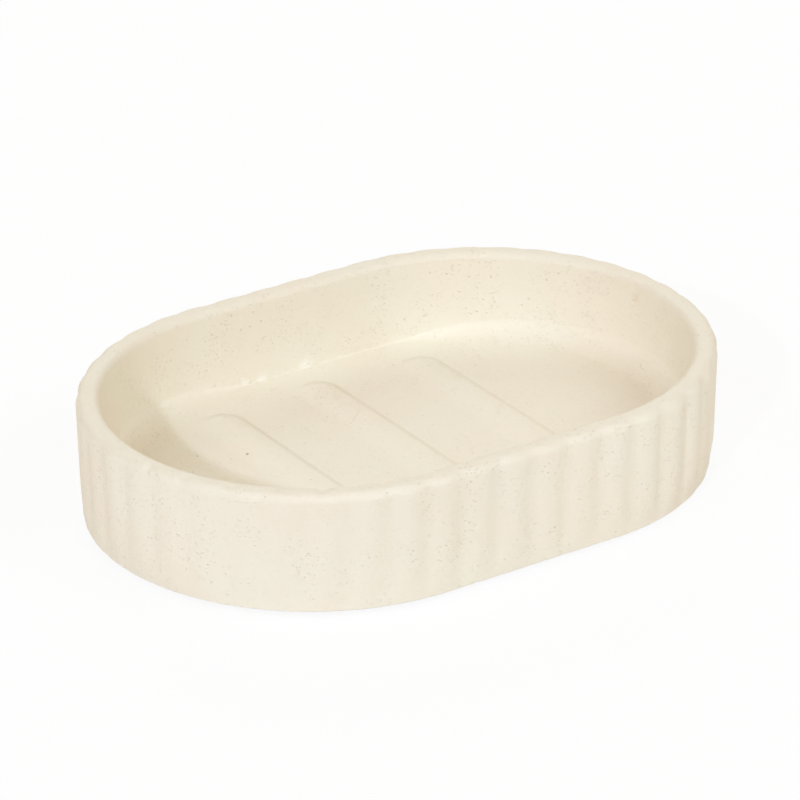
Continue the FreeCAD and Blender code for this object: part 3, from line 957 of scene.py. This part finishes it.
def seen_directly(start):
    """1 for rays from the camera or off a mirror or through glass, 0 for rays that carry light."""
    camera_ray = start.node("LightPath", {}, {}, "Is Camera Ray")
    mirror_ray = camera_ray.also("Is Glossy Ray")
    glass_ray = camera_ray.also("Is Transmission Ray")
    return camera_ray.larger(mirror_ray).larger(glass_ray)


def floor_finish():
    """White that glows for the camera and still takes shadows."""
    material, place = new_material("studio_floor")
    paper = place.node("BsdfDiffuse", {}, {"Color": FLOOR_COLOUR})
    glow = place.node("Emission", {}, {"Color": (1, 1, 1, 1), "Strength": 1.0})
    mixed = place.node("MixShader", {}, {0: seen_directly(place) * FLOOR_GLOW, 1: paper, 2: glow})
    mixed.node("OutputMaterial", {}, {"Surface": mixed})
    return material


side = FLOOR_SIZE / 2
corners = [(-side, -side, 0), (side, -side, 0), (side, side, 0), (-side, side, 0)]
studio_floor = mesh_piece("studio_floor", corners, [(0, 1, 2, 3)])
studio_floor.data.materials.append(floor_finish())

world = bpy.data.worlds.new("studio")
world.use_nodes = True
world.node_tree.nodes.clear()
start = Wire(world.node_tree, None)
ambient = start.node("Background", {}, {"Color": AMBIENT_COLOUR, "Strength": AMBIENT})
white = start.node("Background", {}, {"Color": (1, 1, 1, 1), "Strength": 1.0})
around = start.node("MixShader", {}, {0: seen_directly(start), 1: ambient, 2: white})
around.node("OutputWorld", {}, {"Surface": around})
bpy.context.scene.world = world
bpy.context.scene.view_settings.view_transform = "Standard"
print("floor", FLOOR_SIZE, "m wide; ambient", AMBIENT)

# %% [markdown]
# ## Lamps
# A small hard key low on the left draws the edge of the wall's shadow across the floor of the well.
# Four soft boxes fill in the rest. Three of them stand high. The rear one stands low and a little to
# the right, where it lights the far lip but not the right end of the well. Light adds up, so the
# strengths were first found from pictures with one lamp each, and then trimmed. The lamps are
# cool against the orange light from all round: open faces keep about the stone's own colour, and
# hollows, which see less of the lamps, turn warmer. Each box has an azimuth and an elevation in
# degrees, and its watts.

# %% Key and soft boxes
KEY_FROM = line_of_sight(math.radians(-55.5), math.radians(27.8))
KEY_WIDTH = math.radians(2.6)
KEY_STRENGTH, KEY_COLOUR = 1.23, (0.66, 0.775, 1.0)
BOX_COLOUR = (0.70, 0.86, 1.0)
BOX_DISTANCE, BOX_SIZE = 1.5, 0.8
BOXES = {
    "right_box": (45, 42, 7.8),
    "left_box": (-90, 42, 6.8),
    "front_box": (0, 42, 5.4),
    "rear_box": (155, 25, 9.0),
}


def lamp(name, kind, place, towards):
    """A lamp at a place, pointing at another."""
    made = bpy.data.objects.new(name, bpy.data.lights.new(name, kind))
    made.location = place
    made.rotation_mode = "QUATERNION"
    made.rotation_quaternion = (towards - place).to_track_quat("-Z", "Y")
    bpy.context.scene.collection.objects.link(made)
    return made.data


key = lamp("key", "SUN", SUBJECT + KEY_FROM, SUBJECT)
key.angle = KEY_WIDTH
key.color = KEY_COLOUR
key.energy = KEY_STRENGTH
for name, (azimuth, elevation, watts) in BOXES.items():
    box_from = line_of_sight(math.radians(azimuth), math.radians(elevation))
    box = lamp(name, "AREA", SUBJECT + BOX_DISTANCE * box_from, SUBJECT)
    box.size = BOX_SIZE
    box.color = BOX_COLOUR
    box.energy = watts
print("key and", len(BOXES), "soft boxes")

# %% [markdown]
